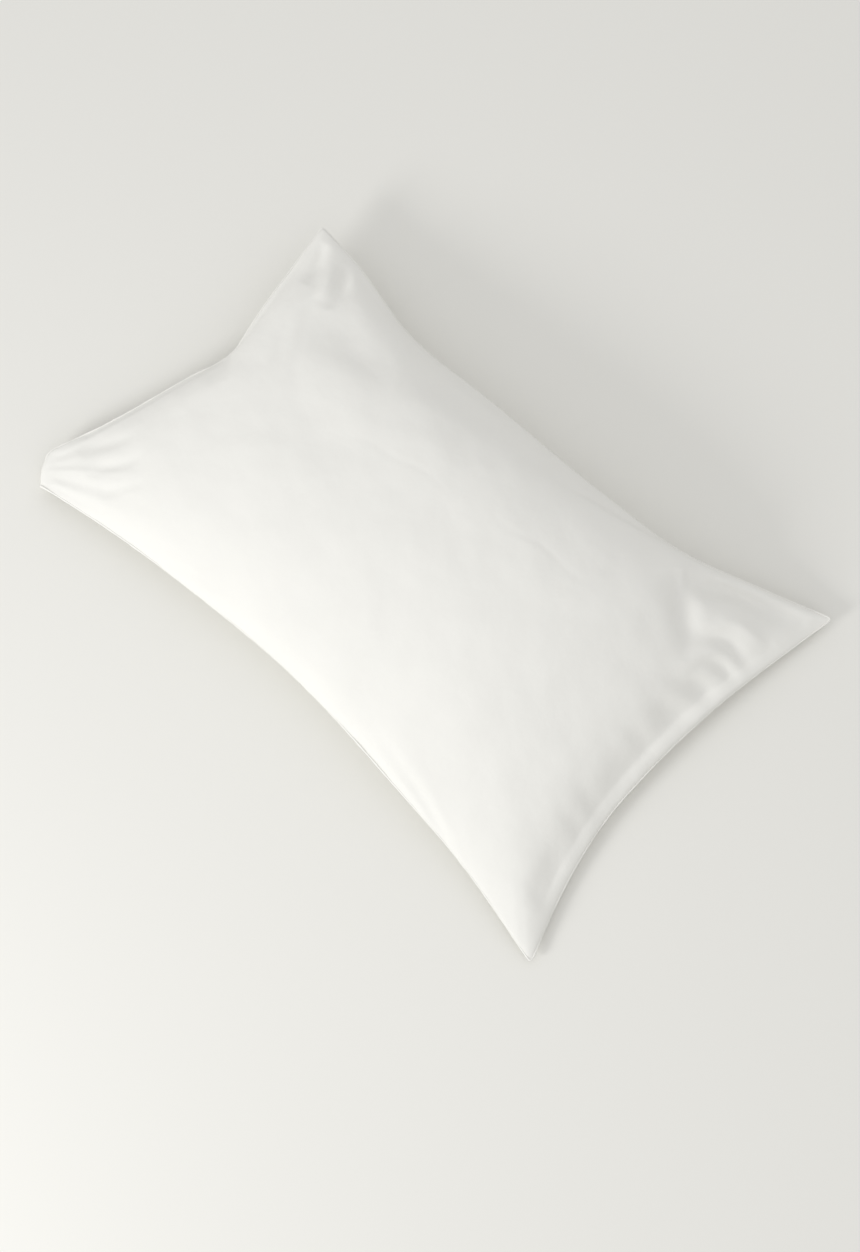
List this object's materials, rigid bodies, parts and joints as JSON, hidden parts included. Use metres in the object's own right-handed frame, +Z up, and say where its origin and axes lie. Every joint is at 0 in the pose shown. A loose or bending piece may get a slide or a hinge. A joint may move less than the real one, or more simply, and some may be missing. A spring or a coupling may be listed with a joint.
{
  "type": "pillowcase",
  "caption": "Plain filled pillowcase lying on its back, with a soft crown, drawn-in sides and pointed corners, one of them turned under.",
  "frame": {"origin": "centre of the bounding box in plan, on the surface that the case lies on", "axes": "+X along the length of the case, towards the end with two pointed corners; +Y across its width; +Z up, out of the crown"},
  "size_m": [0.7324, 0.476, 0.1103],
  "materials": {
    "cotton": "plain white woven cotton, fine and smooth, with soft creases and a sewn edge"
  },
  "bodies": {
    "root": {"pillowcase": "cotton"}
  },
  "joints": []
}
